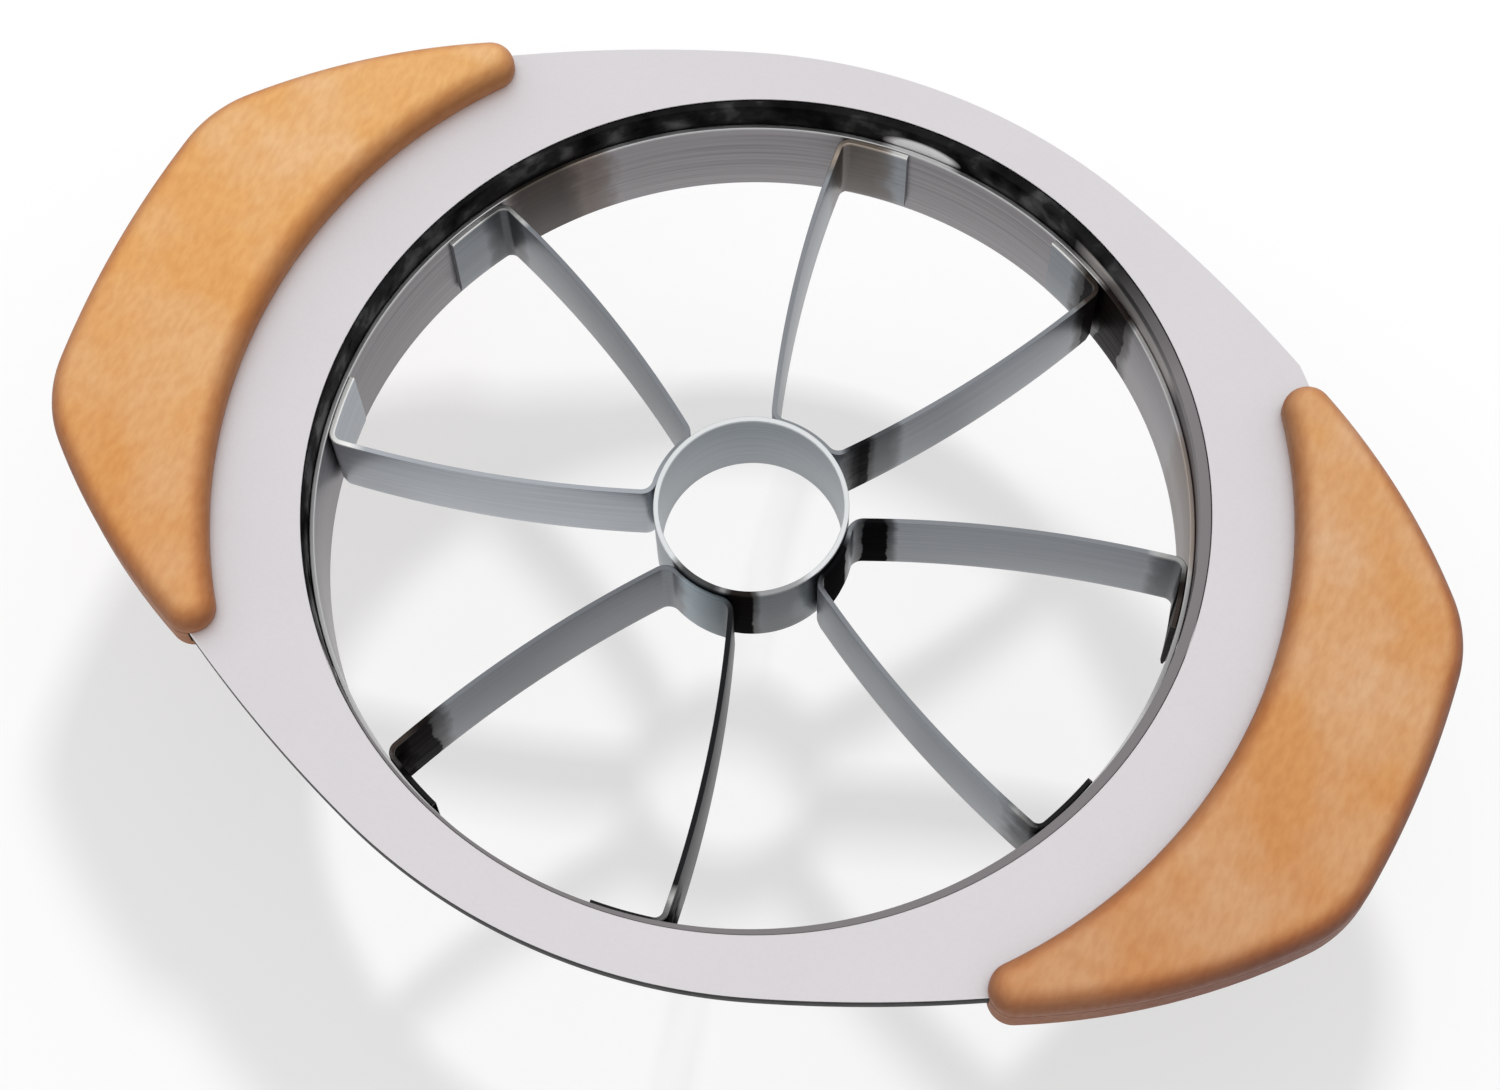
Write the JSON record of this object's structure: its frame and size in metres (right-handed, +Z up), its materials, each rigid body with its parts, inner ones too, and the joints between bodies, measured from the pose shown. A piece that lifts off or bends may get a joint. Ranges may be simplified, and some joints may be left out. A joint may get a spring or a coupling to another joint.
{
  "type": "apple slicer",
  "caption": "Press-down apple slicer and corer: flat steel plate with a round blade frame, a core ring and thin radial blades, and a crescent wooden handle at each end.",
  "frame": {"origin": "on the floor under the middle of the core ring and the outer ring, which is the bottom centre of the bounding box", "axes": "+X through both handles, +Z up along the core ring's axis, the way the apple's core comes out"},
  "size_m": [0.1568, 0.1114, 0.0201],
  "materials": {
    "plate": "satin",
    "strip_steel": "brushed",
    "dark_steel": "blackened",
    "handle_wood": "oiled",
    "screw_steel": "satin"
  },
  "bodies": {
    "root": {"frame_plate": "plate", "collar": "dark_steel", "blade_ring": "strip_steel", "core_ring": "strip_steel", "blade_strip_right": "strip_steel", "blade_strip_back": "strip_steel", "blade_strip_left": "strip_steel", "blade_strip_front": "strip_steel", "handle_top_right": "handle_wood", "handle_bottom_right": "handle_wood", "handle_top_left": "handle_wood", "handle_bottom_left": "handle_wood", "handle_screws_right": "screw_steel", "handle_screws_left": "screw_steel"}
  },
  "joints": []
}
